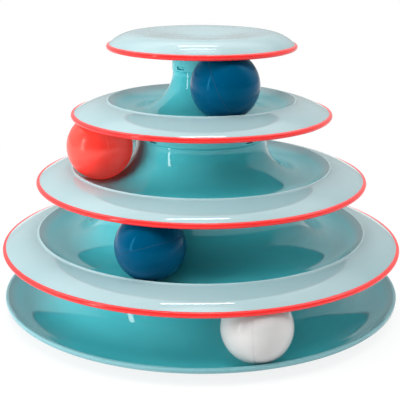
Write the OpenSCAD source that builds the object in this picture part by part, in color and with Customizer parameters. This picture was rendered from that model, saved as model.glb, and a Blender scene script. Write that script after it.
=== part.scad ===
// Four-track ball tower for cats: a base tray, three stacked dishes and a cap.
// Millimetres, +Z up. The origin is on the floor, on the tower's axis.

/* [Tower] */
// Outer radius of the cap's rim
cap_rim_r = 57.5; // [54:0.5:64]
// How much wider, in radius, each rim is than the one above it
brim_step = 22.5; // [21:0.5:26]
// Clearance between the base tray's ball and the rim above it
base_ball_gap = 0.3; // [0.2:0.1:4]
// Clearance between a dish's ball and the rim above it
dish_ball_gap = 1.5; // [0.3:0.1:5]
// Least height left over a ball, under the wall above it
roof_gap = 1.7; // [1.5:0.1:4]
// Thickness of the moulded walls
wall = 2; // [1.6:0.1:2.6]

/* [Balls] */
// Diameter of a ball
ball_d = 40; // [34:0.5:44]
// Thickness of a ball's shell
ball_wall = 1.6; // [1.2:0.1:2.4]
// Height of the lap joint between a ball's two halves
ball_lap = 2; // [1:0.25:3]
// Width of the weld groove round a ball
weld_groove = 0.5; // [0.2:0.1:0.8]
// Lift of a resting ball off its track
ball_lift = 0.2; // [0.1:0.05:0.5]

/* [Tracks] */
// Radius of the track's round section beyond the ball's own radius
track_play = 3.5; // [3:0.25:5]
// Height of a dish's lip above the bottom of its track
lip_rise = 5.6; // [4:0.2:7]
// Radius of the rounded lip between track and brim
lip_round = 0.9; // [0.7:0.1:1.6]
// How far the rounded lip stands up out of the brim
lip_stand = 0.7; // [0.3:0.1:1]
// Radius of the hollow between the lip and the brim
lip_foot = 1; // [0.6:0.1:2]
// Straight stretch at the top of a column
column_land = 0.4; // [0.2:0.1:2]

/* [Brims] */
// Width of a dish's brim, from its lip to its rim
brim_w = 23.6; // [20:0.2:26]
// Drop of a brim, from its lip to the middle of its rim
brim_drop = 8.3; // [6.5:0.1:10]
// Slope of the brim beside the lip, in degrees
brim_lip_slope = 4; // [1:0.5:8]
// Radius of the soft bead round each rim
bead_r = 1.6; // [1.3:0.05:1.8]
// Thickness of the tongue that the bead grips
tongue_t = 1; // [0.6:0.1:1.4]
// Reach of the tongue to either side of the bead's middle
tongue_reach = 0.6; // [0.4:0.1:0.8]

/* [Base tray] */
// Width of the land on the base tray's rim, outside its track
base_rim_w = 1.8; // [0.8:0.1:2.4]
// Height of the base tray's rim band
base_rim_h = 2.6; // [2.2:0.1:5]
// Bevel along the top of the base tray's rim band
base_rim_bevel = 0.6; // [0.3:0.1:0.75]

/* [Feet] */
// Diameter of a foot boss under the base tray
foot_d = 13; // [11.6:0.2:16]
// Height of a foot boss below the base tray's track wall
foot_h = 2.1; // [1.8:0.1:4]
// Distance of the feet inside the bottom of the track
foot_inset = 6; // [4:0.5:9]
// Diameter of a rubber foot pad
pad_d = 10; // [8:0.2:10.6]
// How far a foot pad stands out of its boss
pad_proud = 1.4; // [1:0.1:2.5]
// Depth of the pocket that holds a foot pad
pad_pocket = 1.2; // [0.6:0.1:1.5]
// Bevel round a foot pad's lower edge
pad_bevel = 0.5; // [0.2:0.1:0.8]

/* [Stacking joints] */
// Thickness of a collar's wall
collar_wall = 2; // [1.6:0.1:2.6]
// How far a collar stands out past the column below it
collar_step = 0.4; // [0.2:0.1:1]
// Radial clearance between a spigot and its collar
spigot_gap = 0.2; // [0.1:0.05:0.3]
// Thickness of a spigot's wall
spigot_wall = 2; // [1.6:0.1:2.6]
// Height of a spigot above its column
spigot_h = 6; // [5:0.5:9]
// Depth of a spigot's root inside its column
spigot_root = 3; // [2:0.5:6]
// Lead-in bevel at the top of a spigot
spigot_lead = 0.8; // [0.4:0.1:1.2]
// Width of a snap window in a collar
window_w = 6; // [5.4:0.2:9]
// Height of a snap window
window_h = 1.8; // [1.6:0.1:2.4]
// Height of a snap window's sill above the collar's end
window_sill = 1.2; // [1:0.1:2]
// How far a snap nib stands out of its spigot
nib_out = 1.3; // [0.9:0.1:1.6]
// Clearance round a snap nib in its window
nib_gap = 0.3; // [0.2:0.05:0.4]
// Number of snap windows round a collar
snap_count = 4; // [3:1:8]

/* [Cap] */
// Radius of the cap's crest
crest_r = 40; // [36:0.5:44]
// Height of the cap's crest above the middle of its rim
crest_rise = 8.1; // [6:0.1:10]
// Depth of the hollow in the middle of the cap
dimple_depth = 3; // [1.5:0.25:4]
// Share of the way to the crest that the hollow's bowl takes up
dimple_share = 0.3; // [0.2:0.05:0.6]

/* [Hidden] */

// Facets round a full turn, and steps along one arc of a section
$fn = 96;
arc_steps = 12;
// Steps round a bead's section: as a true torus, a ring this slender and this
// wide meshes unevenly
bead_steps = 32;
// Overrun of a cut, and the depth to which a fused piece is buried
cut_over = 1;

// Levels, counted from the top
CAP = 0;
UPPER = 1;
MIDDLE = 2;
LOWER = 3;
BASE = 4;

// Place of each level's ball round its track, in degrees to the right of front
ball_turn = [0, 18.9, -74.9, -18.9, 16.4];
// Tilt of each ball's weld plane about X and then about Y, in degrees
ball_tilt = [[0, 0], [12, 64], [-22, 85], [-17, -16], [10, 87]];

aqua = "#a9d6da";
aqua_deep = "#86c3ca";
coral = "#f04a48";
blue = "#0a5f8c";
white = "#f2f2f0";
rubber = "#3c4246";
ball_colour = [aqua, blue, coral, blue, white];

ball_r = ball_d / 2;
track_r = ball_r + track_play;
lip_angle = acos(1 - lip_rise / track_r);

// Radius of each level's rim; the base tray is as wide as the lowest dish
function rim_r(n) = cap_rim_r + min(n, LOWER) * brim_step;
// Radius of the lip at the outside of each track
function lip_r(n) = n == BASE ? rim_r(n) - base_rim_w : rim_r(n) - brim_w;
// Radius of the bottom of each track
function low_r(n) = lip_r(n) - track_r * sin(lip_angle);
// Outer radius of the column inside each track
function column_r(n) = low_r(n) - track_r;

// Height from a ball's middle up to a rim bead that it clears by gap, where
// the bead's middle lies beyond the ball's by the distance over
function bead_over_ball(gap, over) =
    sqrt(pow(ball_r + bead_r + gap, 2) - over * over);
// Height from one track up to the next, for a ball that clears the rim above
function pitch(gap, over) = max(
    ball_lift + ball_r + bead_over_ball(gap, over) - lip_rise + brim_drop,
    ball_lift + ball_d + roof_gap + wall - lip_rise);
base_pitch = pitch(base_ball_gap, rim_r(LOWER) - bead_r - low_r(BASE));
dish_pitch = pitch(dish_ball_gap, rim_r(UPPER) - bead_r - low_r(MIDDLE));

// Height of the bottom of each track, of its lip and of its rim
base_floor_z = pad_proud + foot_h + wall;
function floor_z(n) = n == BASE ? base_floor_z
    : base_floor_z + base_pitch + (LOWER - n) * dish_pitch;
function lip_z(n) = floor_z(n) + lip_rise;
function rim_z(n) = lip_z(n) - brim_drop;
// Height of the top of a column, where the next piece's collar stands
function seam_z(n) = floor_z(n) + track_r + column_land;

// Points along an arc about c, from angle a0 to angle a1
function arc_points(c, r, a0, a1) =
    [for (i = [0:arc_steps]) let (a = a0 + (a1 - a0) * i / arc_steps)
        c + r * [cos(a), sin(a)]];
// The two ends of such an arc, for a stretch too short to curve
function arc_ends(c, r, a0, a1) =
    [for (a = [a0, a1]) c + r * [cos(a), sin(a)]];
// Where two circles cross, on the left of the way from the first to the second
function crossing(c1, r1, c2, r2) =
    let (d = norm(c2 - c1), along = (r1 * r1 - r2 * r2 + d * d) / (2 * d),
         u = (c2 - c1) / d, side = sqrt(r1 * r1 - along * along))
    c1 + along * u + side * [-u[1], u[0]];
function heading(from, to) = atan2(to[1] - from[1], to[0] - from[0]);

// The brim's middle line is an arc from under the lip to the bead's middle
function bead_mid(n) = [rim_r(n) - bead_r, rim_z(n)];
function lip_mid(n) = [lip_r(n), lip_z(n) - wall / 2];
brim_chord = bead_mid(LOWER) - lip_mid(LOWER);
brim_fall = atan2(-brim_chord[1], brim_chord[0]);
brim_r = norm(brim_chord) / (2 * sin(brim_fall - brim_lip_slope));
brim_rim_slope = 2 * brim_fall - brim_lip_slope;
function brim_mid(n) = lip_mid(n)
    - brim_r * [sin(brim_lip_slope), cos(brim_lip_slope)];
function track_mid(n) = [low_r(n), floor_z(n) + track_r];

// Angle that the tongue's reach takes up on the brim's arc
tongue_turn = tongue_reach / brim_r * 180 / PI;

// Radii of the stacking joint on top of column n
function collar_out(n) = column_r(n) + collar_step;
function collar_in(n) = collar_out(n) - collar_wall;
function spigot_out(n) = collar_in(n) - spigot_gap;
function spigot_in(n) = spigot_out(n) - spigot_wall;
function snap_turn(i) = 45 + i * 360 / snap_count;

// Height of the middle of the track's wall at radius r
function track_wall_z(n, r) = floor_z(n) + track_r
    - sqrt(pow(track_r + wall / 2, 2) - pow(r - low_r(n), 2));

// The cap's top: a bowl, then a rise to the crest, then an arc to the rim
crest_z = rim_z(CAP) + crest_rise;
dimple_turn = 2 * atan(dimple_depth / crest_r);
dimple_r = crest_r * dimple_share / sin(dimple_turn);
crest_in_r = crest_r * (1 - dimple_share) / sin(dimple_turn);
cap_fall = 2 * atan((crest_rise - wall / 2)
    / (rim_r(CAP) - bead_r - crest_r));
cap_out_r = (rim_r(CAP) - bead_r - crest_r) / sin(cap_fall);
cap_tongue_turn = tongue_reach / cap_out_r * 180 / PI;
function cap_wall_z(r) = r < crest_r * dimple_share
    ? crest_z - dimple_depth + dimple_r - sqrt(dimple_r * dimple_r - r * r)
        - wall / 2
    : crest_z - crest_in_r
        + sqrt(crest_in_r * crest_in_r - pow(crest_r - r, 2)) - wall / 2;

// A column's outer face and the track below it, round to the angle to
function track_top(n, to) = concat(
    [[column_r(n), seam_z(n)]],
    arc_points(track_mid(n), track_r, 180, to));
// The underside of that track, from the angle from, and the column's inside
function track_under(n, from) = concat(
    arc_points(track_mid(n), track_r + wall, from, 180),
    [[column_r(n) - wall, seam_z(n)]]);

// Section of a dish: column, track, raised lip, brim and its tongue
module dish_section(n) {
    t = track_mid(n);
    b = brim_mid(n);
    round_mid = crossing(t, track_r + lip_round, b,
        brim_r + wall / 2 - lip_round + lip_stand);
    foot_mid = crossing(round_mid, lip_round + lip_foot, b,
        brim_r + wall / 2 + lip_foot);
    under = crossing(t, track_r + wall, b, brim_r - wall / 2);
    end = 90 - brim_rim_slope;
    polygon(concat(
        track_top(n, heading(t, round_mid) + 360),
        arc_points(round_mid, lip_round,
            heading(t, round_mid) + 180, heading(round_mid, foot_mid)),
        arc_points(foot_mid, lip_foot,
            heading(round_mid, foot_mid) + 180, heading(b, foot_mid) + 180),
        arc_points(b, brim_r + wall / 2, heading(b, foot_mid),
            end + tongue_turn),
        arc_ends(b, brim_r + tongue_t / 2, end + tongue_turn,
            end - tongue_turn),
        arc_ends(b, brim_r - tongue_t / 2, end - tongue_turn,
            end + tongue_turn),
        arc_points(b, brim_r - wall / 2, end + tongue_turn,
            heading(b, under)),
        track_under(n, heading(t, under) + 360)));
}

// Section of the base tray: column, track and a bevelled rim band
module base_section() {
    t = track_mid(BASE);
    out = rim_r(BASE);
    top = lip_z(BASE);
    low = top - base_rim_h;
    under = acos(1 - (lip_rise + wall - base_rim_h) / (track_r + wall));
    polygon(concat(
        track_top(BASE, 270 + lip_angle),
        [[out - base_rim_bevel, top], [out, top - base_rim_bevel],
         [out, low]],
        track_under(BASE, 270 + under)));
}

// Section of the cap's shell
module cap_section() {
    c = [crest_r, crest_z - wall / 2 - cap_out_r];
    s = [crest_r, crest_z - crest_in_r];
    d = [0, crest_z - dimple_depth + dimple_r];
    end = 90 - cap_fall;
    polygon(concat(
        arc_points(d, dimple_r, 270, 270 + dimple_turn),
        arc_points(s, crest_in_r, 90 + dimple_turn, 90),
        arc_points(c, cap_out_r + wall / 2, 90, end + cap_tongue_turn),
        arc_ends(c, cap_out_r + tongue_t / 2, end + cap_tongue_turn,
            end - cap_tongue_turn),
        arc_ends(c, cap_out_r - tongue_t / 2, end - cap_tongue_turn,
            end + cap_tongue_turn),
        arc_points(c, cap_out_r - wall / 2, end + cap_tongue_turn, 90),
        arc_points(s, crest_in_r - wall, 90, 90 + dimple_turn),
        arc_points(d, dimple_r + wall, 270 + dimple_turn, 270)));
}

// Collar under the piece above column n, up into the wall given for its faces
module collar_section(n, z_in, z_out) {
    polygon([[collar_in(n), seam_z(n)], [collar_out(n), seam_z(n)],
        [collar_out(n), z_out], [collar_in(n), z_in]]);
}

// Spigot on top of column n, with its lead-in bevel
module spigot_section(n) {
    top = seam_z(n) + spigot_h;
    polygon([[spigot_in(n), seam_z(n) - spigot_root],
        [spigot_out(n), seam_z(n) - spigot_root],
        [spigot_out(n), top - spigot_lead],
        [spigot_out(n) - spigot_lead, top], [spigot_in(n), top]]);
}

// Snap windows through the collar that stands on column n
module snap_windows(n) {
    for (i = [0:snap_count - 1])
        rotate([0, 0, snap_turn(i)])
            translate([collar_in(n) - cut_over, -window_w / 2,
                seam_z(n) + window_sill])
                cube([collar_wall + 2 * cut_over, window_w, window_h]);
}

// Wedge-shaped nibs on the spigot of column n, one for each window
module snap_nibs(n) {
    nib_w = window_w - 2 * nib_gap;
    nib_h = window_h - 2 * nib_gap;
    for (i = [0:snap_count - 1])
        rotate([0, 0, snap_turn(i)])
            translate([spigot_out(n), nib_w / 2,
                seam_z(n) + window_sill + nib_gap])
                rotate([90, 0, 0])
                    linear_extrude(nib_w)
                        polygon([[-cut_over, 0], [nib_out, 0],
                            [nib_out - nib_gap, nib_h / 2],
                            [-cut_over, nib_h]]);
}

// A dish, with the collar that stands on the column of the level below it
module dish(n) {
    below = n + 1;
    color(aqua) difference() {
        union() {
            rotate_extrude() dish_section(n);
            rotate_extrude() spigot_section(n);
            rotate_extrude() collar_section(below,
                track_wall_z(n, collar_in(below)),
                track_wall_z(n, collar_out(below)));
        }
        snap_windows(below);
    }
    color(aqua) snap_nibs(n);
}

// The cap, with the collar that stands on the uppermost column
module cap() {
    color(aqua) difference() {
        union() {
            rotate_extrude() cap_section();
            rotate_extrude() collar_section(UPPER,
                cap_wall_z(collar_in(UPPER)), cap_wall_z(collar_out(UPPER)));
        }
        snap_windows(UPPER);
    }
}

// Middle of each foot, under the base tray's track
function foot_r() = low_r(BASE) - foot_inset;
module at_foot(i) {
    rotate([0, 0, 45 + i * 90]) translate([foot_r(), 0, 0]) children();
}

// The base tray, with its four foot bosses and their pockets
module tray() {
    foot_top = track_wall_z(BASE, foot_r() - foot_d / 2);
    color(aqua_deep) difference() {
        union() {
            rotate_extrude() base_section();
            rotate_extrude() spigot_section(BASE);
            difference() {
                for (i = [0:3]) at_foot(i) foot_boss(foot_top);
                rotate_extrude()
                    translate(track_mid(BASE)) circle(track_r + wall / 2);
            }
        }
        for (i = [0:3])
            at_foot(i) cylinder(d = pad_d, h = pad_proud + pad_pocket);
    }
    color(aqua_deep) snap_nibs(BASE);
}

// One foot boss, from its lower end up into the track's wall
module foot_boss(top) {
    translate([0, 0, pad_proud])
        cylinder(d = foot_d, h = top - pad_proud);
}

// Round section of a bead
module bead_round(n) {
    polygon([for (i = [1:bead_steps]) let (a = i * 360 / bead_steps)
        bead_mid(n) + bead_r * [cos(a), sin(a)]]);
}

// The soft bead round the rim of a dish, gripping its tongue
module dish_bead(n) {
    color(coral) rotate_extrude() difference() {
        bead_round(n);
        dish_section(n);
    }
}

// The soft bead round the cap's rim
module cap_bead() {
    color(coral) rotate_extrude() difference() {
        bead_round(CAP);
        cap_section();
    }
}

// A rubber pad in its pocket, bevelled where it meets the floor
module foot_pad(i) {
    color(rubber) at_foot(i) {
        cylinder(d1 = pad_d - 2 * pad_bevel, d2 = pad_d, h = pad_bevel);
        translate([0, 0, pad_bevel])
            cylinder(d = pad_d, h = pad_proud + pad_pocket - pad_bevel);
    }
}

// Places a ball's parts in track n, turned to the ball's weld plane
module in_track(n) {
    translate([low_r(n) * sin(ball_turn[n]), -low_r(n) * cos(ball_turn[n]),
        floor_z(n) + ball_lift + ball_r])
        rotate([ball_tilt[n][0], ball_tilt[n][1], 0])
            children();
}

// The hollow ball, still whole
module ball_shell() {
    difference() {
        sphere(ball_r);
        sphere(ball_r - ball_wall);
    }
}

// The space on one side of the weld plane, up to height h
module half_space(h) {
    translate([-ball_d, -ball_d, 0]) cube([2 * ball_d, 2 * ball_d, h]);
}

// The V groove that the weld leaves round the ball
module groove() {
    rotate_extrude()
        polygon([[ball_r - weld_groove / 2, 0],
            [ball_r + cut_over, -cut_over - weld_groove / 2],
            [ball_r + cut_over, cut_over + weld_groove / 2]]);
}

// The ball's upper half, with the outer side of the lap joint
module ball_top(n) {
    color(ball_colour[n]) in_track(n) difference() {
        intersection() {
            ball_shell();
            half_space(ball_d);
        }
        cylinder(r = ball_r - ball_wall / 2, h = ball_lap);
        groove();
    }
}

// The ball's lower half, with the inner side of the lap joint
module ball_bottom(n) {
    color(ball_colour[n]) in_track(n) difference() {
        union() {
            intersection() {
                ball_shell();
                mirror([0, 0, 1]) half_space(ball_d);
            }
            intersection() {
                ball_shell();
                cylinder(r = ball_r - ball_wall / 2, h = ball_lap);
            }
        }
        groove();
    }
}

tray();  // base_tray
dish(LOWER);  // lower_dish
dish(MIDDLE);  // middle_dish
dish(UPPER);  // upper_dish
cap();  // top_cap
dish_bead(LOWER);  // lower_rim_bead
dish_bead(MIDDLE);  // middle_rim_bead
dish_bead(UPPER);  // upper_rim_bead
cap_bead();  // cap_rim_bead
foot_pad(0);  // foot_pad_1
foot_pad(1);  // foot_pad_2
foot_pad(2);  // foot_pad_3
foot_pad(3);  // foot_pad_4
ball_top(BASE);  // base_ball_top_shell
ball_bottom(BASE);  // base_ball_bottom_shell
ball_top(LOWER);  // lower_ball_top_shell
ball_bottom(LOWER);  // lower_ball_bottom_shell
ball_top(MIDDLE);  // middle_ball_top_shell
ball_bottom(MIDDLE);  // middle_ball_bottom_shell
ball_top(UPPER);  // upper_ball_top_shell
ball_bottom(UPPER);  // upper_ball_bottom_shell
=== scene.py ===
"""A four-track ball tower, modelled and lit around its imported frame."""

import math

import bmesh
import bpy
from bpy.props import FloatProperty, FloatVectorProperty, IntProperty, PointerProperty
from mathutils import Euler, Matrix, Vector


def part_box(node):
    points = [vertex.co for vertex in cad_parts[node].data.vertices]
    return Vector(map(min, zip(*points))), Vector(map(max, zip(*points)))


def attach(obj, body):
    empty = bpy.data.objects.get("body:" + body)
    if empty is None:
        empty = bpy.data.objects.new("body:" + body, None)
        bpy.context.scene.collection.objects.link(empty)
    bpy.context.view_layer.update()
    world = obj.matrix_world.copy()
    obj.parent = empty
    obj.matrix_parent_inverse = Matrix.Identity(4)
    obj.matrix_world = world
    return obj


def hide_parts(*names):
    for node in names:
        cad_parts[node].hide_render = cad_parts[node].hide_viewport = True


bl_info = {
    "name": "Ball Track Tower",
    "version": (1, 0, 0),
    "blender": (4, 5, 0),
    "location": "View3D > Sidebar > Ball Tower",
    "description": "Models the mouldings, beads, balls and feet of a ball track tower",
    "category": "Object",
}

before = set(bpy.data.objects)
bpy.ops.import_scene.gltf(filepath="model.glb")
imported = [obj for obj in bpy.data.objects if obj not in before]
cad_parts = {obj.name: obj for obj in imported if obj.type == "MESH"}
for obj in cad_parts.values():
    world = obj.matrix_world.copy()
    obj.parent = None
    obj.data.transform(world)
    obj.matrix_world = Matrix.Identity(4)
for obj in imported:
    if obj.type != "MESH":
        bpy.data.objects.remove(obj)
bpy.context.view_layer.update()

MM = 0.001
TOWER = "tower"
LEVELS = ("base", "lower", "middle", "upper")
BELOW = {"lower": "base", "middle": "lower", "upper": "middle", "cap": "upper"}
SHELL_NODES = {"base": "base_tray", "lower": "lower_dish", "middle": "middle_dish",
               "upper": "upper_dish", "cap": "top_cap"}
FEET = ("foot_pad_1", "foot_pad_2", "foot_pad_3", "foot_pad_4")
QUARTER = math.pi / 2
HALF_TURN = math.pi
FULL_TURN = 2 * math.pi
STRAIGHT_DOWN = 1.5 * math.pi

# Tilt of each ball's weld plane about X and then about Y, as in the frame
WELD_TILTS = {"base": (10, 87), "lower": (-17, -16), "middle": (-22, 85), "upper": (12, 64)}

# Steps along the arcs of the outlines
CORNER_STEPS = 3
COLUMN_STEPS = 34
TRACK_STEPS = 14
LIP_STEPS = 9
LIP_FOOT_STEPS = 5
BRIM_STEPS = 22
UNDER_BRIM_STEPS = 16
UNDER_TRACK_STEPS = 28
UNDER_LIP_STEPS = 8
UNDER_BASE_STEPS = 44
BOWL_STEPS = 12
RISE_STEPS = 16
UNDER_EDGE_STEPS = 14
UNDER_CAP_STEPS = 10
BEAD_STEPS = 40
BALL_STEPS = 40
INSIDE_STEPS = {"top": 30, "bottom": 34}

# Steps round a full turn of a ball and of a foot
BALL_AROUND = 128
FOOT_AROUND = 64

# Points closer than this are merged, and edges shorter than the second dissolved
MERGE_REACH = 0.002 * MM
SHORTEST_EDGE = 0.001 * MM

# How far into a collar's fillet its middle point stands, as a share of the fillet
FILLET_SHARE = 0.3

# Faces that meet at less than this angle are shaded as one
SMOOTH_BELOW = math.radians(32)


def length(name, description, value, low=0.0, high=0.5):
    """A size in metres, given in millimetres."""
    return FloatProperty(name=name, description=description, default=value * MM,
                         min=low, max=high, unit="LENGTH", subtype="DISTANCE", precision=5)


def colour(name, description, value):
    return FloatVectorProperty(name=name, description=description, default=value,
                               size=3, min=0.0, max=1.0, subtype="COLOR")


class TowerSizes(bpy.types.PropertyGroup):
    """Sizes of the tower's pieces that the frame doesn't give."""

    wall: length("Wall", "Thickness of the moulded walls", 2.0)
    track_play: length("Track play", "Radius of the track beyond the ball's own", 3.5)
    lip_rise: length("Lip rise", "Height of a lip above the bottom of its track", 5.6)
    lip_round: length("Lip rounding", "Radius of the rounded lip", 0.9)
    lip_stand: length("Lip stand", "How far a rounded lip stands out of its brim", 0.7)
    lip_foot: length("Lip foot", "Radius of the hollow between a lip and its brim", 1.0)
    column_land: length("Column land", "Straight stretch at the top of a column", 0.4)
    brim_width: length("Brim width", "Width of a brim, from lip to rim", 23.6)
    brim_slope: FloatProperty(name="Brim slope", description="Slope of a brim beside its lip",
                              default=math.radians(4), subtype="ANGLE")
    tongue: length("Tongue", "Thickness of the tongue that a bead grips", 1.0)
    tongue_reach: length("Tongue reach", "Reach of the tongue past the bead's middle", 0.6)
    edge: length("Edge rounding", "Radius of the mouldings' small edges", 0.35)
    collar_wall: length("Collar wall", "Thickness of a collar", 2.0)
    collar_step: length("Collar step", "How far a collar stands out past its column", 0.4)
    spigot_gap: length("Spigot gap", "Clearance between a spigot and its collar", 0.2)
    spigot_wall: length("Spigot wall", "Thickness of a spigot", 2.0)
    spigot_height: length("Spigot height", "Height of a spigot above its column", 6.0)
    spigot_root: length("Spigot root", "Depth of a spigot's root in its column", 3.0)
    spigot_lead: length("Spigot lead", "Lead-in bevel at the top of a spigot", 0.8)
    window_width: length("Window width", "Width of a snap window", 6.0)
    window_height: length("Window height", "Height of a snap window", 1.8)
    window_sill: length("Window sill", "Height of a snap window above the collar's end", 1.2)
    nib_out: length("Nib", "How far a snap nib stands out of its spigot", 1.3)
    nib_gap: length("Nib gap", "Clearance round a snap nib", 0.3)
    base_rim_width: length("Base land", "Width of the base's rim outside its track", 1.8)
    base_rim_height: length("Base band", "Height of the base's rim band", 2.6)
    base_rim_bevel: length("Base bevel", "Bevel on top of the base's rim band", 0.6)
    crest_radius: length("Crest radius", "Radius of the cap's crest", 40.0)
    crest_rise: length("Crest rise", "Height of the crest above the cap's rim", 8.1)
    dimple_depth: length("Dimple", "Depth of the hollow in the cap", 3.0)
    dimple_share: FloatProperty(name="Dimple share", default=0.3, min=0.1, max=0.8,
                                description="Share of the cap's radius in the hollow's bowl")
    ball_wall: length("Ball wall", "Thickness of a ball's shell", 1.6)
    ball_lap: length("Ball lap", "Height of the lap joint in a ball", 2.0)
    weld_width: length("Weld width", "Width of the weld line round a ball", 0.34)
    foot_width: length("Foot width", "Diameter of a foot boss", 13.0)
    pad_gap: length("Pad gap", "Clearance between a foot pad and its pocket", 0.05)
    pad_bevel: length("Pad bevel", "Bevel round a foot pad's lower edge", 0.5)
    # Painted shade: how far inside a lip's crest the plastic is painted deeper, as in shade
    painted_shade_fade: length("Tone fade", "How far inside a lip the plastic's tone deepens", 9.0)
    around: IntProperty(name="Steps around", description="Faces round a full turn",
                        default=192, min=48, max=384)


class TowerColours(bpy.types.PropertyGroup):
    """Colours of the tower's plastics, as linear values."""

    # Painted light and shade: the first tone is the aqua paled with painted light and sheen, on
    # the cap and brims; the second is it deepened with painted shade, down in the tracks
    shell_painted_lit: colour("Shell, open", "Aqua plastic of the cap and the brims",
                       (0.292, 0.414, 0.436))
    shell_painted_shade: colour("Shell, sheltered", "Aqua plastic down in the tracks",
                            (0.078, 0.505, 0.555))
    # Painted light: the base's rim paled with painted light and sheen
    base_painted_lit: colour("Base, open", "Aqua plastic of the base's rim", (0.195, 0.415, 0.450))
    # Painted highlight: a pale line painted along each lip's crest, and along the base rim's inner
    # edge
    shell_crest_highlight: colour("Shell, edge", "Polished crest of the lips", (0.41, 0.58, 0.61))
    base_crest_highlight: colour("Base, edge", "Polished inner edge of the base's rim", (0.18, 0.37, 0.40))
    bead: colour("Bead", "Soft coral edging", (0.85, 0.026, 0.024))
    bead_deep: colour("Bead, deep", "Coral edging in its denser streaks", (0.82, 0.022, 0.022))
    ball_white: colour("White ball", "White ball's plastic", (0.56, 0.56, 0.555))
    ball_blue: colour("Blue ball", "Blue balls' plastic", (0.0, 0.064, 0.142))
    ball_red: colour("Red ball", "Red ball's plastic", (0.95, 0.045, 0.032))
    foot: colour("Foot", "Rubber of the foot pads", (0.045, 0.052, 0.056))


def sizes():
    return bpy.context.scene.tower_sizes


def colours():
    return bpy.context.scene.tower_colours


def rim_bead(level):
    """Middle radius, middle height and section radius of a rim's bead."""
    low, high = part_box(f"{level}_rim_bead")
    section = (high.z - low.z) / 2
    return high.x - section, low.z + section, section


def rim_radius(level):
    if level == "base":
        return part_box("base_tray")[1].x
    middle, _, section = rim_bead(level)
    return middle + section


def ball_place(level):
    """Middle and radius of a ball, from its two halves together."""
    boxes = [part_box(f"{level}_ball_{half}_shell") for half in ("top", "bottom")]
    low = Vector(min(box[0][i] for box in boxes) for i in range(3))
    high = Vector(max(box[1][i] for box in boxes) for i in range(3))
    return (low + high) / 2, max(high - low) / 2


def weld_turn(level):
    """How a ball's weld plane is turned."""
    return Euler([math.radians(angle) for angle in (*WELD_TILTS[level], 0)])


def track_radius():
    return ball_place("base")[1] + sizes().track_play


def lip_angle():
    return math.acos(1 - sizes().lip_rise / track_radius())


def seam_height(level):
    """Height at which a column ends and the next piece's collar stands."""
    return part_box(SHELL_NODES[level])[1].z - sizes().spigot_height


def track_middle(level):
    """Middle of a track's round section, as radius and height."""
    width = sizes().base_rim_width if level == "base" else sizes().brim_width
    lip = rim_radius(level) - width
    return Vector((lip - track_radius() * math.sin(lip_angle()),
                   seam_height(level) - sizes().column_land))


def lip_place(level):
    middle = track_middle(level)
    radius = track_radius()
    return Vector((middle.x + radius * math.sin(lip_angle()),
                   middle.y - radius + sizes().lip_rise))


def column_radius(level):
    return track_middle(level).x - track_radius()


def collar_radii(level):
    """Outer and inner radius of the collar that stands on a level's column."""
    outer = column_radius(level) + sizes().collar_step
    return outer, outer - sizes().collar_wall


def collar_fillet():
    """Radius of the fillet between a collar and the wall above it."""
    return 2 * sizes().edge


def spigot_radii(level):
    outer = collar_radii(level)[1] - sizes().spigot_gap
    return outer, outer - sizes().spigot_wall


def arc(middle, radius, start, end, steps):
    """Points along an arc, with its angles in radians."""
    turns = [start + (end - start) * i / steps for i in range(steps + 1)]
    return [middle + radius * Vector((math.cos(turn), math.sin(turn))) for turn in turns]


def heading(start, end):
    return math.atan2(end.y - start.y, end.x - start.x)


def crossing(first, first_radius, second, second_radius):
    """Where two circles cross, on the left of the way from the first to the second."""
    way = second - first
    span = way.length
    along = (first_radius ** 2 - second_radius ** 2 + span ** 2) / (2 * span)
    side = math.sqrt(first_radius ** 2 - along ** 2)
    way.normalize()
    return first + along * way + side * Vector((-way.y, way.x))


def corner(point, radius, start, end):
    """A rounded corner: an arc whose middle lies inside the corner."""
    return arc(Vector(point), radius, start, end, CORNER_STEPS)


def deselect_all():
    bpy.ops.object.select_all(action="DESELECT")


def select_only(piece):
    deselect_all()
    piece.select_set(True)
    bpy.context.view_layer.objects.active = piece


def apply_place():
    """Puts the selected piece's place, turn and scale into its mesh."""
    bpy.ops.object.transform_apply(location=True, rotation=True, scale=True)


def draw_outline(name, points, closed=True):
    """Draws an outline in the XZ plane by extruding one vertex from point to point."""
    deselect_all()
    first = points[0]
    bpy.ops.mesh.primitive_plane_add(size=MM, location=(first.x, 0, first.y))
    piece = bpy.context.object
    piece.name = name
    piece.data.name = name
    apply_place()
    bpy.ops.object.mode_set(mode="EDIT")
    bpy.ops.mesh.select_all(action="SELECT")
    bpy.ops.mesh.merge(type="CENTER")
    for here, there in zip(points, points[1:]):
        step = there - here
        bpy.ops.mesh.extrude_region_move(
            TRANSFORM_OT_translate={"value": (step.x, 0, step.y)})
    if closed:
        bpy.ops.mesh.select_all(action="DESELECT")
        mesh = bmesh.from_edit_mesh(piece.data)
        for vertex in mesh.verts:
            vertex.select = len(vertex.link_edges) == 1
        mesh.select_flush_mode()
        bmesh.update_edit_mesh(piece.data)
        bpy.ops.mesh.edge_face_add()
    return piece


def spin_outline(piece, steps):
    """Spins the drawn outline round the tower's axis into a closed skin."""
    bpy.ops.mesh.select_all(action="SELECT")
    bpy.ops.mesh.spin(steps=steps, angle=FULL_TURN, center=(0, 0, 0), axis=(0, 0, 1),
                      use_auto_merge=True, use_normal_flip=False)
    bpy.ops.mesh.select_all(action="SELECT")
    bpy.ops.mesh.remove_doubles(threshold=MERGE_REACH)
    bpy.ops.mesh.dissolve_degenerate(threshold=SHORTEST_EDGE)
    bpy.ops.mesh.select_all(action="SELECT")
    bpy.ops.mesh.normals_make_consistent(inside=False)
    bpy.ops.object.mode_set(mode="OBJECT")


def revolved(name, points, closed=True, steps=None):
    piece = draw_outline(name, points, closed)
    spin_outline(piece, steps or sizes().around)
    return piece


def smooth(piece):
    select_only(piece)
    bpy.ops.object.shade_smooth_by_angle(angle=SMOOTH_BELOW)


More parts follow.
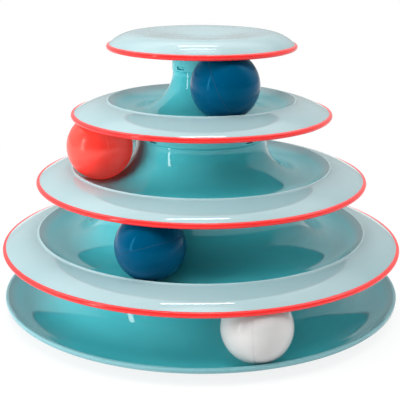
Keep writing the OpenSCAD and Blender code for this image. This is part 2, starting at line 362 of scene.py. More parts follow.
def cut_or_join(piece, tools, operation):
    """Applies a boolean with all the tools joined, and removes them."""
    deselect_all()
    for tool in tools:
        tool.select_set(True)
    bpy.context.view_layer.objects.active = tools[0]
    if len(tools) > 1:
        bpy.ops.object.join()
    tool = bpy.context.view_layer.objects.active
    select_only(piece)
    modifier = piece.modifiers.new(operation.title(), "BOOLEAN")
    modifier.operation = operation
    modifier.solver = "EXACT"
    modifier.object = tool
    bpy.ops.object.modifier_apply(modifier=modifier.name)
    bpy.data.objects.remove(tool)


def block(width, depth, height, location, turn=0.0, bevel=0.0):
    """A block, bevelled in edit mode, turned about the tower's axis."""
    deselect_all()
    bpy.ops.mesh.primitive_cube_add(size=1, location=location)
    piece = bpy.context.object
    piece.scale = (width, depth, height)
    apply_place()
    if bevel:
        bpy.ops.object.mode_set(mode="EDIT")
        bpy.ops.mesh.select_all(action="SELECT")
        bpy.ops.mesh.bevel(offset=bevel, segments=2)
        bpy.ops.object.mode_set(mode="OBJECT")
    piece.rotation_euler = (0, 0, turn)
    apply_place()
    return piece


def upright_cylinder(radius, depth, location):
    """A cylinder for a foot, its boss or its pocket."""
    deselect_all()
    bpy.ops.mesh.primitive_cylinder_add(vertices=FOOT_AROUND, radius=radius, depth=depth,
                                        location=location)
    return bpy.context.object


def snap_turns():
    return [QUARTER / 2 + i * QUARTER for i in range(4)]


def cut_windows(piece, below):
    """Cuts the snap windows through the collar that stands on the level below."""
    values = sizes()
    outer, inner = collar_radii(below)
    middle = seam_height(below) + values.window_sill + values.window_height / 2
    tools = [block(3 * values.collar_wall, values.window_width, values.window_height,
                   ((outer + inner) / 2, 0, middle), turn) for turn in snap_turns()]
    cut_or_join(piece, tools, "DIFFERENCE")


def add_nibs(piece, level):
    """Joins the snap nibs to the spigot on top of a level's column."""
    values = sizes()
    outer = spigot_radii(level)[0]
    height = values.window_height - 2 * values.nib_gap
    width = values.window_width - 2 * values.nib_gap
    middle = seam_height(level) + values.window_sill + values.window_height / 2
    tools = [block(2 * values.nib_out, width, height, (outer, 0, middle), turn,
                   values.nib_gap) for turn in snap_turns()]
    cut_or_join(piece, tools, "UNION")


def column_and_spigot(level):
    """Outline up the inside of a column, over its spigot and down to the track."""
    values = sizes()
    seam = seam_height(level)
    top = seam + values.spigot_height
    column = column_radius(level)
    out, inner = spigot_radii(level)
    root = seam - values.spigot_root
    edge = values.edge
    return ([Vector((column - values.wall, root)), Vector((inner, root)),
             Vector((inner, top)), Vector((out - values.spigot_lead, top)),
             Vector((out, top - values.spigot_lead)), Vector((out, seam))]
            + corner((column - edge, seam - edge), edge, QUARTER, 0)
            + arc(track_middle(level), track_radius(), HALF_TURN, STRAIGHT_DOWN, COLUMN_STEPS)[1:])


def collar_outline(level, wall_radius):
    """Outline down a collar and up its inside, between points on the wall above."""
    values = sizes()
    below = BELOW[level]
    outer, inner = collar_radii(below)
    seam = seam_height(below)
    sill = seam + values.window_sill
    lintel = sill + values.window_height
    edge = values.edge
    fillet = collar_fillet()
    inset = FILLET_SHARE * fillet
    top_out = wall_radius(outer)
    top_in = wall_radius(inner)
    return ([Vector((outer + fillet, wall_radius(outer + fillet))),
             Vector((outer + inset, top_out - inset)),
             Vector((outer, top_out - fillet)), Vector((outer, lintel)),
             Vector((outer, sill))]
            + corner((outer - edge, seam + edge), edge, 0, -QUARTER)
            + corner((inner + edge, seam + edge), edge, -QUARTER, -HALF_TURN)
            + [Vector((inner, sill)), Vector((inner, lintel)),
               Vector((inner, top_in - fillet)),
               Vector((inner - inset, top_in - inset)),
               Vector((inner - fillet, wall_radius(inner - fillet)))])


def track_underside(level):
    """Height of the underside of a track's wall at a radius."""
    middle = track_middle(level)
    reach = track_radius() + sizes().wall

    def height(radius):
        return middle.y - math.sqrt(reach ** 2 - (radius - middle.x) ** 2)
    return height


def brim_arc(level):
    """Middle and radius of the arc along the middle of a brim, and its last slope."""
    values = sizes()
    radius, height, _ = rim_bead(level)
    lip = lip_place(level)
    start = Vector((lip.x, lip.y - values.wall / 2))
    chord = Vector((radius, height)) - start
    fall = math.atan2(-chord.y, chord.x)
    reach = chord.length / (2 * math.sin(fall - values.brim_slope))
    slope = values.brim_slope
    return start - reach * Vector((math.sin(slope), math.cos(slope))), reach, 2 * fall - slope


def tongue_outline(middle, reach, last_slope):
    """Outline round the tongue at a brim's end, from the top side to the underside."""
    values = sizes()
    turn = values.tongue_reach / reach
    end = QUARTER - last_slope
    half = values.tongue / 2
    return ([middle + (reach + half) * Vector((math.cos(a), math.sin(a)))
             for a in (end + turn, end - turn)]
            + [middle + (reach - half) * Vector((math.cos(a), math.sin(a)))
               for a in (end - turn, end + turn)])


def lip_middle(level):
    """Middle of a dish's rounded lip, which stands a little out of its brim."""
    values = sizes()
    brim, brim_reach, _ = brim_arc(level)
    return crossing(track_middle(level), track_radius() + values.lip_round, brim,
                    brim_reach + values.wall / 2 - values.lip_round + values.lip_stand)


def dish_outline(level):
    """The whole outline of a dish, from its spigot to its collar."""
    values = sizes()
    wall = values.wall
    track = track_middle(level)
    reach = track_radius()
    brim, brim_reach, last_slope = brim_arc(level)
    lip = lip_middle(level)
    foot = crossing(lip, values.lip_round + values.lip_foot,
                    brim, brim_reach + wall / 2 + values.lip_foot)
    under = crossing(track, reach + wall, brim, brim_reach - wall / 2)
    end = QUARTER - last_slope + values.tongue_reach / brim_reach
    outer, inner = collar_radii(BELOW[level])
    far_out = outer + collar_fillet()
    far_in = inner - collar_fillet()
    from_lip = heading(track, under) + FULL_TURN
    at_outer = FULL_TURN - math.acos((far_out - track.x) / (reach + wall))
    at_inner = FULL_TURN - math.acos((far_in - track.x) / (reach + wall))
    return (column_and_spigot(level)
            + arc(track, reach, STRAIGHT_DOWN, heading(track, lip) + FULL_TURN, TRACK_STEPS)[1:]
            + arc(lip, values.lip_round, heading(track, lip) + HALF_TURN, heading(lip, foot),
                  LIP_STEPS)[1:]
            + arc(foot, values.lip_foot, heading(lip, foot) + HALF_TURN,
                  heading(brim, foot) + HALF_TURN, LIP_FOOT_STEPS)[1:]
            + arc(brim, brim_reach + wall / 2, heading(brim, foot), end, BRIM_STEPS)[1:]
            + tongue_outline(brim, brim_reach, last_slope)
            + arc(brim, brim_reach - wall / 2, end, heading(brim, under), UNDER_BRIM_STEPS)
            + arc(track, reach + wall, from_lip, at_outer, UNDER_LIP_STEPS)[1:-1]
            + collar_outline(level, track_underside(level))
            + arc(track, reach + wall, at_inner, HALF_TURN, UNDER_TRACK_STEPS)[1:])


def base_outline():
    """The whole outline of the base tray."""
    values = sizes()
    wall = values.wall
    track = track_middle("base")
    reach = track_radius()
    out = rim_radius("base")
    top = lip_place("base").y
    low = top - values.base_rim_height
    bevel = values.base_rim_bevel
    edge = values.edge
    under = math.acos((track.y - low) / (reach + wall))
    return (column_and_spigot("base")
            + arc(track, reach, STRAIGHT_DOWN, STRAIGHT_DOWN + lip_angle(), TRACK_STEPS)[1:]
            + [Vector((out - bevel, top)), Vector((out, top - bevel))]
            + corner((out - edge, low + edge), edge, 0, -QUARTER)
            + arc(track, reach + wall, STRAIGHT_DOWN + under, HALF_TURN, UNDER_BASE_STEPS))


def cap_outline():
    """The outline of the cap, from the middle of its top to the middle underneath."""
    values = sizes()
    wall = values.wall
    crest = values.crest_radius
    radius, height, _ = rim_bead("cap")
    crest_height = height + values.crest_rise
    turn = 2 * math.atan(values.dimple_depth / crest)
    bowl = crest * values.dimple_share / math.sin(turn)
    rise = crest * (1 - values.dimple_share) / math.sin(turn)
    fall = 2 * math.atan((values.crest_rise - wall / 2) / (radius - crest))
    reach = (radius - crest) / math.sin(fall)
    bowl_middle = Vector((0, crest_height - values.dimple_depth + bowl))
    rise_middle = Vector((crest, crest_height - rise))
    edge_middle = Vector((crest, crest_height - wall / 2 - reach))
    end = QUARTER - fall + values.tongue_reach / reach

    def underside(r):
        if r < crest * values.dimple_share:
            return bowl_middle.y - math.sqrt((bowl + wall) ** 2 - r ** 2)
        return rise_middle.y + math.sqrt((rise - wall) ** 2 - (crest - r) ** 2)

    outer, inner = collar_radii("upper")
    far_out = outer + collar_fillet()
    far_in = inner - collar_fillet()
    steps = UNDER_CAP_STEPS
    back = [crest + (far_out - crest) * i / steps for i in range(steps)]
    within = [far_in * (1 - i / steps) for i in range(1, steps + 1)]
    return (arc(bowl_middle, bowl, STRAIGHT_DOWN, STRAIGHT_DOWN + turn, BOWL_STEPS)
            + arc(rise_middle, rise, QUARTER + turn, QUARTER, RISE_STEPS)[1:]
            + arc(edge_middle, reach + wall / 2, QUARTER, end, BRIM_STEPS)[1:]
            + tongue_outline(edge_middle, reach, fall)
            + arc(edge_middle, reach - wall / 2, end, QUARTER, UNDER_EDGE_STEPS)[:-1]
            + [Vector((r, underside(r))) for r in back]
            + collar_outline("cap", underside)
            + [Vector((r, underside(r))) for r in within])


def bead_outline(level):
    """The section of a rim's bead: a round cord with a slot for the tongue."""
    values = sizes()
    radius, height, section = rim_bead(level)
    middle = Vector((radius, height))
    if level == "cap":
        crest = values.crest_radius
        slope = 2 * math.atan((values.crest_rise - values.wall / 2) / (radius - crest))
    else:
        slope = brim_arc(level)[2]
    out = Vector((math.cos(slope), -math.sin(slope)))
    up = Vector((math.sin(slope), math.cos(slope)))
    wall = values.wall / 2
    mouth = HALF_TURN - math.asin(wall / section)
    turned = arc(middle, section, -slope + mouth, -slope - mouth, BEAD_STEPS)
    reach = values.tongue_reach
    half = values.tongue / 2
    slot = [middle + a * out + b * up for a, b in
            ((-reach, -wall), (-reach, -half), (reach, -half), (reach, half),
             (-reach, half), (-reach, wall))]
    return turned + slot


def half_ball_outline(radius, half):
    """Section of the top or bottom half of a ball: shell, lap joint and weld groove."""
    values = sizes()
    inner = radius - values.ball_wall
    middle = radius - values.ball_wall / 2
    groove = values.weld_width / 2
    lap = values.ball_lap
    zero = Vector((0, 0))
    pole = QUARTER if half == "top" else -QUARTER
    first = math.copysign(math.asin(groove / radius), pole)
    lap_turn = math.asin(lap / inner)
    return (arc(zero, radius, pole, first, BALL_STEPS)
            + [Vector((radius - groove, 0)), Vector((middle, 0)), Vector((middle, lap))]
            + arc(zero, inner, lap_turn, pole, INSIDE_STEPS[half]))


def settle(piece, node, body, material):
    """Gives a finished piece its name, material and body."""
    smooth(piece)
    piece.name = f"{node}_skin"
    piece.data.name = piece.name
    piece.data.materials.clear()
    piece.data.materials.append(material)
    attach(piece, body)
    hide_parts(node)


def add_node(tree, kind, place, **values):
    node = tree.nodes.new(kind)
    node.location = place
    for key, value in values.items():
        setattr(node, key, value)
    return node


def new_material(name):
    """A Principled material with Object coordinates, and its parts."""
    material = bpy.data.materials.new(name)
    material.use_nodes = True
    tree = material.node_tree
    shader = tree.nodes["Principled BSDF"]
    place = add_node(tree, "ShaderNodeTexCoord", (-1200, 0))
    return material, tree, shader, place.outputs["Object"]


def noise(tree, vector, scale, detail, place):
    """Noise of a scale in cycles a metre."""
    node = add_node(tree, "ShaderNodeTexNoise", place)
    node.inputs["Scale"].default_value = scale
    node.inputs["Detail"].default_value = detail
    tree.links.new(vector, node.inputs["Vector"])
    return node.outputs["Fac"]


# The span that most of a noise texture's values lie in
NOISE_LOW = 0.35
NOISE_HIGH = 0.65


def ranged(tree, value, low, high, start=NOISE_LOW, end=NOISE_HIGH, place=(-600, 0),
           kind="LINEAR"):
    """Maps a value between start and end onto low to high, held at both ends."""
    node = add_node(tree, "ShaderNodeMapRange", place, interpolation_type=kind)
    for socket, number in (("From Min", start), ("From Max", end),
                           ("To Min", low), ("To Max", high)):
        node.inputs[socket].default_value = number
    tree.links.new(value, node.inputs["Value"])
    return node.outputs["Result"]


def mixed(tree, factor, first, second, place=(-300, 0), blend="MIX"):
    """Blends a colour, or a socket's colour, with a second colour."""
    node = add_node(tree, "ShaderNodeMix", place, data_type="RGBA", blend_type=blend)
    if isinstance(first, bpy.types.NodeSocket):
        tree.links.new(first, node.inputs["A"])
    else:
        node.inputs["A"].default_value = (*first, 1)
    node.inputs["B"].default_value = (*second, 1)
    tree.links.new(factor, node.inputs["Factor"])
    return node.outputs["Result"]


def computed(tree, operation, *values, place=(-700, 700)):
    """A Math node over sockets and numbers."""
    node = add_node(tree, "ShaderNodeMath", place, operation=operation)
    for socket, value in zip(node.inputs, values):
        if isinstance(value, (int, float)):
            socket.default_value = value
        else:
            tree.links.new(value, socket)
    return node.outputs[0]


def radius_from_axis(tree, vector):
    """Distance from the tower's axis."""
    flat = add_node(tree, "ShaderNodeVectorMath", (-1000, -500), operation="MULTIPLY")
    flat.inputs[1].default_value = (1, 1, 0)
    tree.links.new(vector, flat.inputs[0])
    far = add_node(tree, "ShaderNodeVectorMath", (-850, -500), operation="LENGTH")
    tree.links.new(flat.outputs["Vector"], far.inputs[0])
    return far.outputs["Value"]


# Distances from a lip's crest, as shares of its rounding, over which its painted highlight line
# fades
CREST_HIGHLIGHT = (0.2, 0.6)


def painted_light_shares(tree, vector, far):
    """Two shares of painted light. The first paints light and shade: it is 1 on the cap,
    the brims and the lips, which are painted paler as in light, and falls to 0 down in the
    tracks, which are painted deeper as in shade. The second is a painted highlight, 1 along
    the crest of each lip.

    They read how far a point lies inside the cone through the rims, at the same
    height, and how high it lies beside the cap's rim."""
    values = sizes()
    low, high = rim_bead("lower")[1], rim_bead("upper")[1]
    spread = (rim_radius("lower") - rim_radius("upper")) / (high - low)
    lip = lip_middle("lower") + Vector((0, values.lip_round))
    crest = rim_radius("lower") - spread * (lip.y - low) - lip.x
    apart = add_node(tree, "ShaderNodeSeparateXYZ", (-1000, 700))
    tree.links.new(vector, apart.inputs["Vector"])
    height = apart.outputs["Z"]
    cone = computed(tree, "MULTIPLY_ADD", height, -spread, rim_radius("lower") + spread * low)
    depth = computed(tree, "SUBTRACT", cone, far)
    start = crest + values.lip_round
    # Painted shade deepens the tone over a fade inside each lip's crest
    brim = ranged(tree, depth, 1, 0, start, start + values.painted_shade_fade, (-600, 800), "SMOOTHSTEP")
    rim = rim_bead("cap")[1]
    cap = ranged(tree, height, 0, 1, rim - 2 * values.wall, rim - values.wall, (-600, 950))
    beside = computed(tree, "ABSOLUTE", computed(tree, "SUBTRACT", depth, crest))
    near, far_off = (share * values.lip_round for share in CREST_HIGHLIGHT)
    # Painted highlight: a line along each lip's crest, left off the cap
    line = ranged(tree, beside, 1, 0, near, far_off, (-600, 1100))
    below_cap = computed(tree, "SUBTRACT", 1.0, cap)
    return (computed(tree, "MAXIMUM", brim, cap, place=(-450, 800)),
            computed(tree, "MULTIPLY", line, below_cap, place=(-450, 1100)))


def bump(tree, shader, height, depth, strength):
    """Bumps a surface by up to a depth in millimetres."""
    node = add_node(tree, "ShaderNodeBump", (-200, -350))
    node.inputs["Strength"].default_value = strength
    node.inputs["Distance"].default_value = depth * MM
    tree.links.new(height, node.inputs["Height"])
    tree.links.new(node.outputs["Normal"], shader.inputs["Normal"])


# What the plastic's denser streaks keep of its red, green and blue
STREAK_TINT = (0.90, 0.96, 0.965)

# The shells' roughness range, and the strength of tool marks that it spans
SHELL_ROUGH = (0.03, 0.06)
SHELL_MARKS = (0.15, 0.4)


def moulded_plastic(name, painted_lit_tone, painted_shade_tone, crest_highlight_tone):
    """Glossy moulded plastic with painted light and shade: paler on the cap and the brims,
    deeper with painted shade in the tracks, with a painted highlight along the lips' crests,
    faint flow marks, rings from the turned tool and a fine ripple."""
    material, tree, shader, spot = new_material(name)
    far = radius_from_axis(tree, spot)
    painted_light_share, crest_highlight_share = painted_light_shares(tree, spot, far)
    # Painted light and shade: the pale tone in the open, the deep one down in the tracks
    tone = mixed(tree, painted_light_share, painted_shade_tone, painted_lit_tone, (-300, 700))
    # Painted highlight along each lip's crest
    highlighted = mixed(tree, crest_highlight_share, tone, crest_highlight_tone, (-200, 900))
    flow = noise(tree, spot, scale=14, detail=4, place=(-900, 300))
    streaked = mixed(tree, ranged(tree, flow, 0, 1), highlighted, STREAK_TINT, (-100, 500), "MULTIPLY")
    tree.links.new(streaked, shader.inputs["Base Color"])
    ring = add_node(tree, "ShaderNodeCombineXYZ", (-700, -500))
    tree.links.new(far, ring.inputs["X"])
    marks = noise(tree, ring.outputs["Vector"], scale=2600, detail=2, place=(-500, -500))
    haze = noise(tree, spot, scale=90, detail=5, place=(-900, -150))
    both = computed(tree, "MULTIPLY", marks, haze, place=(-550, -150))
    rough = ranged(tree, both, *SHELL_ROUGH, *SHELL_MARKS)
    tree.links.new(rough, shader.inputs["Roughness"])
    ripple = noise(tree, spot, scale=130, detail=2, place=(-900, -400))
    bump(tree, shader, ripple, depth=0.002, strength=0.35)
    shader.inputs["IOR"].default_value = 1.5
    return material


# The coral edging's roughness range
EDGING_ROUGH = (0.09, 0.16)


def soft_edging(name, light, deep):
    """Soft coral edging with a satin skin."""
    material, tree, shader, spot = new_material(name)
    flow = noise(tree, spot, scale=60, detail=3, place=(-900, 300))
    tone = mixed(tree, ranged(tree, flow, 0, 1), light, deep)
    tree.links.new(tone, shader.inputs["Base Color"])
    fine = noise(tree, spot, scale=1500, detail=3, place=(-900, -150))
    tree.links.new(ranged(tree, fine, *EDGING_ROUGH), shader.inputs["Roughness"])
    bump(tree, shader, fine, depth=0.01, strength=0.4)
    return material


# How much of the pale weld colour shows along a ball's weld, the distances from the
# weld over which it fades, and how far the weld's colour goes towards middle grey
WELD_PALE = 0.15
WELD_FADE = (0.12 * MM, 0.45 * MM)
WELD_HAZE = 0.14

# What a ball's denser streaks keep of its colour
BALL_DENSER = 0.93

# Each ball colour's roughness range, mirror level and tint, and a painted glow: emission of its
# own colour that brightens its shaded side
BALL_FINISHES = {
    "white": {"rough": (0.10, 0.16), "gloss": 0.5, "sheen": (1.0, 1.0, 1.0), "painted_glow": 0.0},
    "blue": {"rough": (0.12, 0.18), "gloss": 0.25, "sheen": (0.05, 0.62, 0.95), "painted_glow": 0.0},
    "red": {"rough": (0.18, 0.26), "gloss": 0.75, "sheen": (1.0, 0.9, 0.8), "painted_glow": 0.4}}


def ball_plastic(name, tint, level, finish):
    """Glossy ball plastic with scuffs, a paler line along the weld, and as much painted glow as
    its finish gives.
    """
    material, tree, shader, spot = new_material(name)
    shader.inputs["Specular IOR Level"].default_value = finish["gloss"]
    shader.inputs["Specular Tint"].default_value = (*finish["sheen"], 1)
    # Painted light: the ball's own colour given off as emission, a glow that lifts its shaded side
    shader.inputs["Emission Color"].default_value = (*tint, 1)
    shader.inputs["Emission Strength"].default_value = finish["painted_glow"]
    turned = add_node(tree, "ShaderNodeMapping", (-1050, 200), vector_type="TEXTURE")
    turned.inputs["Location"].default_value = ball_place(level)[0]
    turned.inputs["Rotation"].default_value = weld_turn(level)
    tree.links.new(spot, turned.inputs["Vector"])
    apart = add_node(tree, "ShaderNodeSeparateXYZ", (-900, 200))
    tree.links.new(turned.outputs["Vector"], apart.inputs["Vector"])
    far = computed(tree, "ABSOLUTE", apart.outputs["Z"], place=(-750, 200))
    weld = ranged(tree, far, WELD_PALE, 0, *WELD_FADE, (-600, 200))
    pale = [part + WELD_HAZE * (0.5 - part) for part in tint]
    deep = [BALL_DENSER * part for part in tint]
    flow = noise(tree, spot, scale=45, detail=3, place=(-900, 500))
    body = mixed(tree, ranged(tree, flow, 0, 1, place=(-600, 500)), tint, deep, (-400, 500))
    lined = mixed(tree, weld, body, pale, (-200, 300))
    tree.links.new(lined, shader.inputs["Base Color"])
    scuffs = noise(tree, turned.outputs["Vector"], scale=320, detail=6, place=(-900, -150))
    tree.links.new(ranged(tree, scuffs, *finish["rough"]), shader.inputs["Roughness"])
    ripple = noise(tree, spot, scale=210, detail=2, place=(-900, -400))
    bump(tree, shader, ripple, depth=0.006, strength=0.3)
    return material


# The foot rubber's roughness range, and what its grain keeps of its colour
RUBBER_ROUGH = (0.62, 0.85)
RUBBER_DENSER = 0.7


def foot_rubber(name, tint):
    """Matt rubber with a fine cast grain."""
    material, tree, shader, spot = new_material(name)
    grain = noise(tree, spot, scale=1800, detail=4, place=(-900, 300))
    deep = [RUBBER_DENSER * part for part in tint]
    tone = mixed(tree, ranged(tree, grain, 0, 1), tint, deep)
    tree.links.new(tone, shader.inputs["Base Color"])
    tree.links.new(ranged(tree, grain, *RUBBER_ROUGH), shader.inputs["Roughness"])
    bump(tree, shader, grain, depth=0.05, strength=0.6)
    return material


def dish_plastic():
    found = bpy.data.materials.get("aqua_plastic")
    tones = colours()
    # Its tones are painted light, painted shade and a painted highlight along the lips
    return found or moulded_plastic("aqua_plastic", tones.shell_painted_lit, tones.shell_painted_shade,
                                    tones.shell_crest_highlight)


def edging():
    found = bpy.data.materials.get("coral_edging")
    return found or soft_edging("coral_edging", colours().bead, colours().bead_deep)


class TOWER_OT_base_tray(bpy.types.Operator):
    """Model the base tray with its column, track, rim band and foot bosses"""

    bl_idname = "ball_tower.base_tray"
    bl_label = "Base Tray"

    def execute(self, context):
        values = sizes()
        piece = revolved("base_tray_skin", base_outline())
        bosses = []
        pockets = []
        track = track_middle("base")
        for node in FEET:
            low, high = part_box(node)
            middle = (low + high) / 2
            far = math.hypot(middle.x, middle.y)
            top = track.y - math.sqrt((track_radius() + values.wall / 2) ** 2
                                      - (far - track.x) ** 2)
            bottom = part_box("base_tray")[0].z
            bosses.append(upright_cylinder(
                values.foot_width / 2, top - bottom,
                (middle.x, middle.y, (top + bottom) / 2)))
            pockets.append(upright_cylinder(
                (high.x - low.x) / 2 + values.pad_gap, 2 * (high.z - bottom),
                (middle.x, middle.y, bottom)))
        cut_or_join(piece, bosses, "UNION")
        cut_or_join(piece, pockets, "DIFFERENCE")
        add_nibs(piece, "base")
        tones = colours()
        # Painted light on the rim, painted shade in the track and a painted highlight on the rim's
        # inner edge
        plastic = moulded_plastic("aqua_base_plastic", tones.base_painted_lit, tones.shell_painted_shade,
                                  tones.base_crest_highlight)
        settle(piece, "base_tray", TOWER, plastic)
        return {"FINISHED"}


class TOWER_OT_dishes(bpy.types.Operator):
    """Model the three dishes with their columns, tracks, brims and collars"""

    bl_idname = "ball_tower.dishes"
    bl_label = "Dishes"

    def execute(self, context):
        for level in LEVELS[1:]:
            node = SHELL_NODES[level]
            piece = revolved(f"{node}_skin", dish_outline(level))
            cut_windows(piece, BELOW[level])
            add_nibs(piece, level)
            settle(piece, node, TOWER, dish_plastic())
        return {"FINISHED"}


class TOWER_OT_cap(bpy.types.Operator):
    """Model the cap with its hollow, crest and collar"""

    bl_idname = "ball_tower.cap"
    bl_label = "Cap"

    def execute(self, context):
        piece = revolved("top_cap_skin", cap_outline(), closed=False)
        cut_windows(piece, "upper")
        settle(piece, "top_cap", TOWER, dish_plastic())
        return {"FINISHED"}


class TOWER_OT_beads(bpy.types.Operator):
    """Model the soft beads round the four upper rims"""

    bl_idname = "ball_tower.beads"
    bl_label = "Rim Beads"

    def execute(self, context):
        for level in (*LEVELS[1:], "cap"):
            node = f"{level}_rim_bead"
            piece = revolved(f"{node}_skin", bead_outline(level))
            settle(piece, node, TOWER, edging())
        return {"FINISHED"}


class TOWER_OT_feet(bpy.types.Operator):
    """Model the four rubber foot pads, bevelled round their lower edge"""

    bl_idname = "ball_tower.feet"
    bl_label = "Foot Pads"

    def execute(self, context):
        rubber = foot_rubber("foot_rubber", colours().foot)
        for node in FEET:
            low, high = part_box(node)
            middle = (low + high) / 2
            piece = upright_cylinder((high.x - low.x) / 2, high.z - low.z, middle)
            apply_place()
            bpy.ops.object.mode_set(mode="EDIT")
            bpy.ops.mesh.select_all(action="DESELECT")
            mesh = bmesh.from_edit_mesh(piece.data)
            for edge in mesh.edges:
                edge.select = all(vertex.co.z < middle.z for vertex in edge.verts)
            bmesh.update_edit_mesh(piece.data)
            bpy.ops.mesh.bevel(offset=sizes().pad_bevel, segments=3)
            bpy.ops.object.mode_set(mode="OBJECT")
            settle(piece, node, TOWER, rubber)
        return {"FINISHED"}


class TOWER_OT_balls(bpy.types.Operator):
    """Model the four balls, each as two lapped and welded half shells"""

    bl_idname = "ball_tower.balls"
    bl_label = "Balls"

    def execute(self, context):
        tints = {"base": ("white", colours().ball_white), "lower": ("blue", colours().ball_blue),
                 "middle": ("red", colours().ball_red), "upper": ("blue", colours().ball_blue)}
        for level in LEVELS:
            word, tint = tints[level]
            middle, radius = ball_place(level)
            plastic = ball_plastic(f"{level}_ball_{word}", tint, level, BALL_FINISHES[word])
            for half in ("top", "bottom"):
                node = f"{level}_ball_{half}_shell"
                piece = revolved(f"{node}_skin", half_ball_outline(radius, half),
                                 closed=False, steps=BALL_AROUND)
                piece.rotation_euler = weld_turn(level)
                piece.location = middle
                select_only(piece)
                apply_place()
                settle(piece, node, f"{level}_ball", plastic)
        return {"FINISHED"}


class TOWER_OT_stage(bpy.types.Operator):
    """Make the pale floor, the soft studio light and the camera"""

    bl_idname = "ball_tower.stage"
    bl_label = "Stage"

    def execute(self, context):
        make_floor()
        make_world()
        make_lamps()
        make_camera()
        context.scene.view_settings.view_transform = "Standard"
        return {"FINISHED"}


# Share of plain white in the floor that is seen or mirrored, near the tower. The
# rest takes its shadow, and fades to none between these distances.
FLOOR_WHITE = 0.85
FLOOR_FADE = (0.16, 0.45)

FLOOR_SIZE = 8
FLOOR_TONE = (0.9, 0.9, 0.9, 1)
WHITE = (1, 1, 1, 1)


def make_floor():
    deselect_all()
    bpy.ops.mesh.primitive_plane_add(size=FLOOR_SIZE, location=(0, 0, 0))
    floor = bpy.context.object
    floor.name = "floor"
    material = bpy.data.materials.new("white_floor")
    material.use_nodes = True
    tree = material.node_tree
    tree.nodes.clear()
    out = add_node(tree, "ShaderNodeOutputMaterial", (600, 0))
    matt = add_node(tree, "ShaderNodeBsdfDiffuse", (0, 100))
    matt.inputs["Color"].default_value = FLOOR_TONE
    white = add_node(tree, "ShaderNodeEmission", (0, -100))
    white.inputs["Color"].default_value = WHITE
    rays = add_node(tree, "ShaderNodeLightPath", (-600, 300))
    seen = rays.outputs["Is Camera Ray"]
    for kind in ("Is Glossy Ray", "Is Transmission Ray"):
        seen = computed(tree, "MAXIMUM", seen, rays.outputs[kind], place=(-400, 300))
    place = add_node(tree, "ShaderNodeTexCoord", (-1200, 0))
    far = radius_from_axis(tree, place.outputs["Object"])
    white_share = ranged(tree, far, FLOOR_WHITE, 1, *FLOOR_FADE, (-600, 100))
    share = computed(tree, "MULTIPLY", seen, white_share, place=(-200, 300))
    mix = add_node(tree, "ShaderNodeMixShader", (300, 0))
    tree.links.new(share, mix.inputs["Fac"])
    tree.links.new(matt.outputs[0], mix.inputs[1])
    tree.links.new(white.outputs[0], mix.inputs[2])
    tree.links.new(mix.outputs[0], out.inputs["Surface"])
    floor.data.materials.append(material)


# How bright the surround mirrors level behind the tower, and how much it gains
# between two heights: above the horizon, towards overhead, where the front brims
# mirror it, and in a patch straight overhead, which draws lines along the lips
WORLD_BACK = 0.53
WORLD_STEPS = ((0.0, 0.5, 0.48), (0.55, 0.75, 1.6), (0.97, 0.99, 3.0))

# Depths between which the mirrored surround rises from the dark viewer's side
WORLD_TURN = (-0.2, 0.1)


def make_world():
    """A white surround behind the tower, seen plain and mirrored by what is glossy.

    It gives no even light of its own: the lamps do."""
    world = bpy.context.scene.world or bpy.data.worlds.new("studio")
    bpy.context.scene.world = world
    world.use_nodes = True
    tree = world.node_tree
    tree.nodes.clear()
    out = add_node(tree, "ShaderNodeOutputWorld", (600, 0))
    place = add_node(tree, "ShaderNodeTexCoord", (-900, 0))
    apart = add_node(tree, "ShaderNodeSeparateXYZ", (-700, 0))
    tree.links.new(place.outputs["Generated"], apart.inputs["Vector"])
    behind = ranged(tree, apart.outputs["Y"], 0, 1, *WORLD_TURN, (-450, 0))
    high = WORLD_BACK
    for start, end, gain in WORLD_STEPS:
        step = ranged(tree, apart.outputs["Z"], 0, gain, start, end, (-450, -300))
        high = computed(tree, "ADD", high, step, place=(-250, -300))
    rays = add_node(tree, "ShaderNodeLightPath", (-450, 300))
    shine = computed(tree, "MULTIPLY", behind, high, place=(-250, -100))
    shine = computed(tree, "MULTIPLY", shine, rays.outputs["Is Glossy Ray"], place=(-100, 0))
    mirrored = add_node(tree, "ShaderNodeBackground", (100, 100))
    tree.links.new(shine, mirrored.inputs["Strength"])
    white = add_node(tree, "ShaderNodeBackground", (100, -200))
    for node in (mirrored, white):
        node.inputs["Color"].default_value = WHITE
    mix = add_node(tree, "ShaderNodeMixShader", (450, 0))
    seen = computed(tree, "MAXIMUM", rays.outputs["Is Camera Ray"],
                    rays.outputs["Is Transmission Ray"], place=(200, 300))
    tree.links.new(seen, mix.inputs["Fac"])
    tree.links.new(mirrored.outputs[0], mix.inputs[1])
    tree.links.new(white.outputs[0], mix.inputs[2])
    tree.links.new(mix.outputs[0], out.inputs["Surface"])


# Lamps: name, place, width, height, power and whether it mirrors; each faces AIM
AIM = Vector((0, 0, 0.08))
LAMPS = (
    ("top_soft", (0.0, -0.45, 1.3), 0.9, 0.9, 14.5, False),
    ("left_high", (-1.0, -0.3, 0.95), 0.7, 0.7, 5.5, False),
    ("right_high", (1.0, -0.3, 0.95), 0.7, 0.7, 4.8, False),
    ("left_low", (-1.5, -0.45, 0.3), 0.7, 0.7, 22.0, False),
    ("right_low", (1.5, -0.45, 0.3), 0.7, 0.7, 4.0, False),
    ("back_high", (0.0, 1.2, 1.0), 1.2, 0.8, 16.5, False),
    ("left_strip", (-1.00, -0.67, 0.30), 0.09, 1.0, 2.5, True),
    ("top_strip_near", (-0.018, 0.20, 1.05), 0.34, 0.025, 0.5, True),
    ("top_strip_far", (-0.025, 0.46, 1.05), 0.30, 0.025, 0.6, True),
)


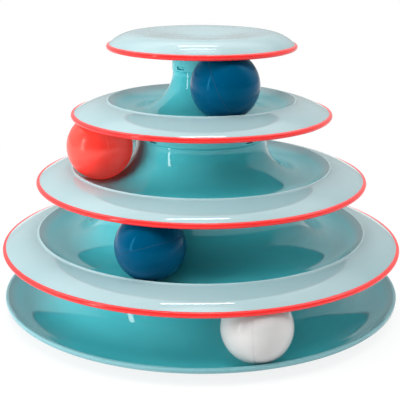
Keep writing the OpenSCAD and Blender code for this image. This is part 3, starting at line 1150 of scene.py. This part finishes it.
def make_lamps():
    for name, place, width, depth, power, mirrors in LAMPS:
        deselect_all()
        bpy.ops.object.light_add(type="AREA", location=place)
        lamp = bpy.context.object
        lamp.name = name
        lamp.data.shape = "RECTANGLE"
        lamp.data.size = width
        lamp.data.size_y = depth
        lamp.data.energy = power
        lamp.visible_glossy = mirrors
        aim = AIM - Vector(place)
        lamp.rotation_euler = aim.to_track_quat("-Z", "Y").to_euler()


# The photograph's camera, fitted to the rims and balls in its 400 by 400 pixels
PHOTO_WIDTH = 400
FOCAL_PIXELS = 902.2
MIDDLE_PIXELS = (201.13, 218.6)
SENSOR = 36
CAMERA_PLACE = (0, -0.5493, 0.23027)
CAMERA_DOWN = math.radians(17.81)
CAMERA_ROLL = math.radians(0.24)


def make_camera():
    deselect_all()
    bpy.ops.object.camera_add(location=CAMERA_PLACE,
                              rotation=(QUARTER - CAMERA_DOWN, 0, 0))
    camera = bpy.context.object
    camera.rotation_euler.rotate_axis("Z", CAMERA_ROLL)
    camera.data.sensor_width = SENSOR
    camera.data.lens = FOCAL_PIXELS * SENSOR / PHOTO_WIDTH
    camera.data.shift_x = -(MIDDLE_PIXELS[0] - PHOTO_WIDTH / 2) / PHOTO_WIDTH
    camera.data.shift_y = (MIDDLE_PIXELS[1] - PHOTO_WIDTH / 2) / PHOTO_WIDTH
    bpy.context.scene.camera = camera


class TOWER_PT_panel(bpy.types.Panel):
    """The tower's pieces, sizes and colours"""

    bl_idname = "TOWER_PT_panel"
    bl_label = "Ball Tower"
    bl_space_type = "VIEW_3D"
    bl_region_type = "UI"
    bl_category = "Ball Tower"

    def draw(self, context):
        layout = self.layout
        for operator in OPERATORS:
            layout.operator(operator.bl_idname)
        for group in (context.scene.tower_sizes, context.scene.tower_colours):
            box = layout.box()
            for key in group.__annotations__:
                box.prop(group, key)


OPERATORS = (TOWER_OT_stage, TOWER_OT_base_tray, TOWER_OT_dishes, TOWER_OT_cap,
             TOWER_OT_beads, TOWER_OT_feet, TOWER_OT_balls)
CLASSES = (TowerSizes, TowerColours, *OPERATORS, TOWER_PT_panel)


def register():
    for cls in CLASSES:
        bpy.utils.register_class(cls)
    bpy.types.Scene.tower_sizes = PointerProperty(type=TowerSizes)
    bpy.types.Scene.tower_colours = PointerProperty(type=TowerColours)


def unregister():
    del bpy.types.Scene.tower_colours
    del bpy.types.Scene.tower_sizes
    for cls in reversed(CLASSES):
        bpy.utils.unregister_class(cls)


def main():
    register()
    bpy.ops.ball_tower.stage()
    bpy.ops.ball_tower.base_tray()
    bpy.ops.ball_tower.dishes()
    bpy.ops.ball_tower.cap()
    bpy.ops.ball_tower.beads()
    bpy.ops.ball_tower.feet()
    bpy.ops.ball_tower.balls()


if __name__ == "__main__":
    main()
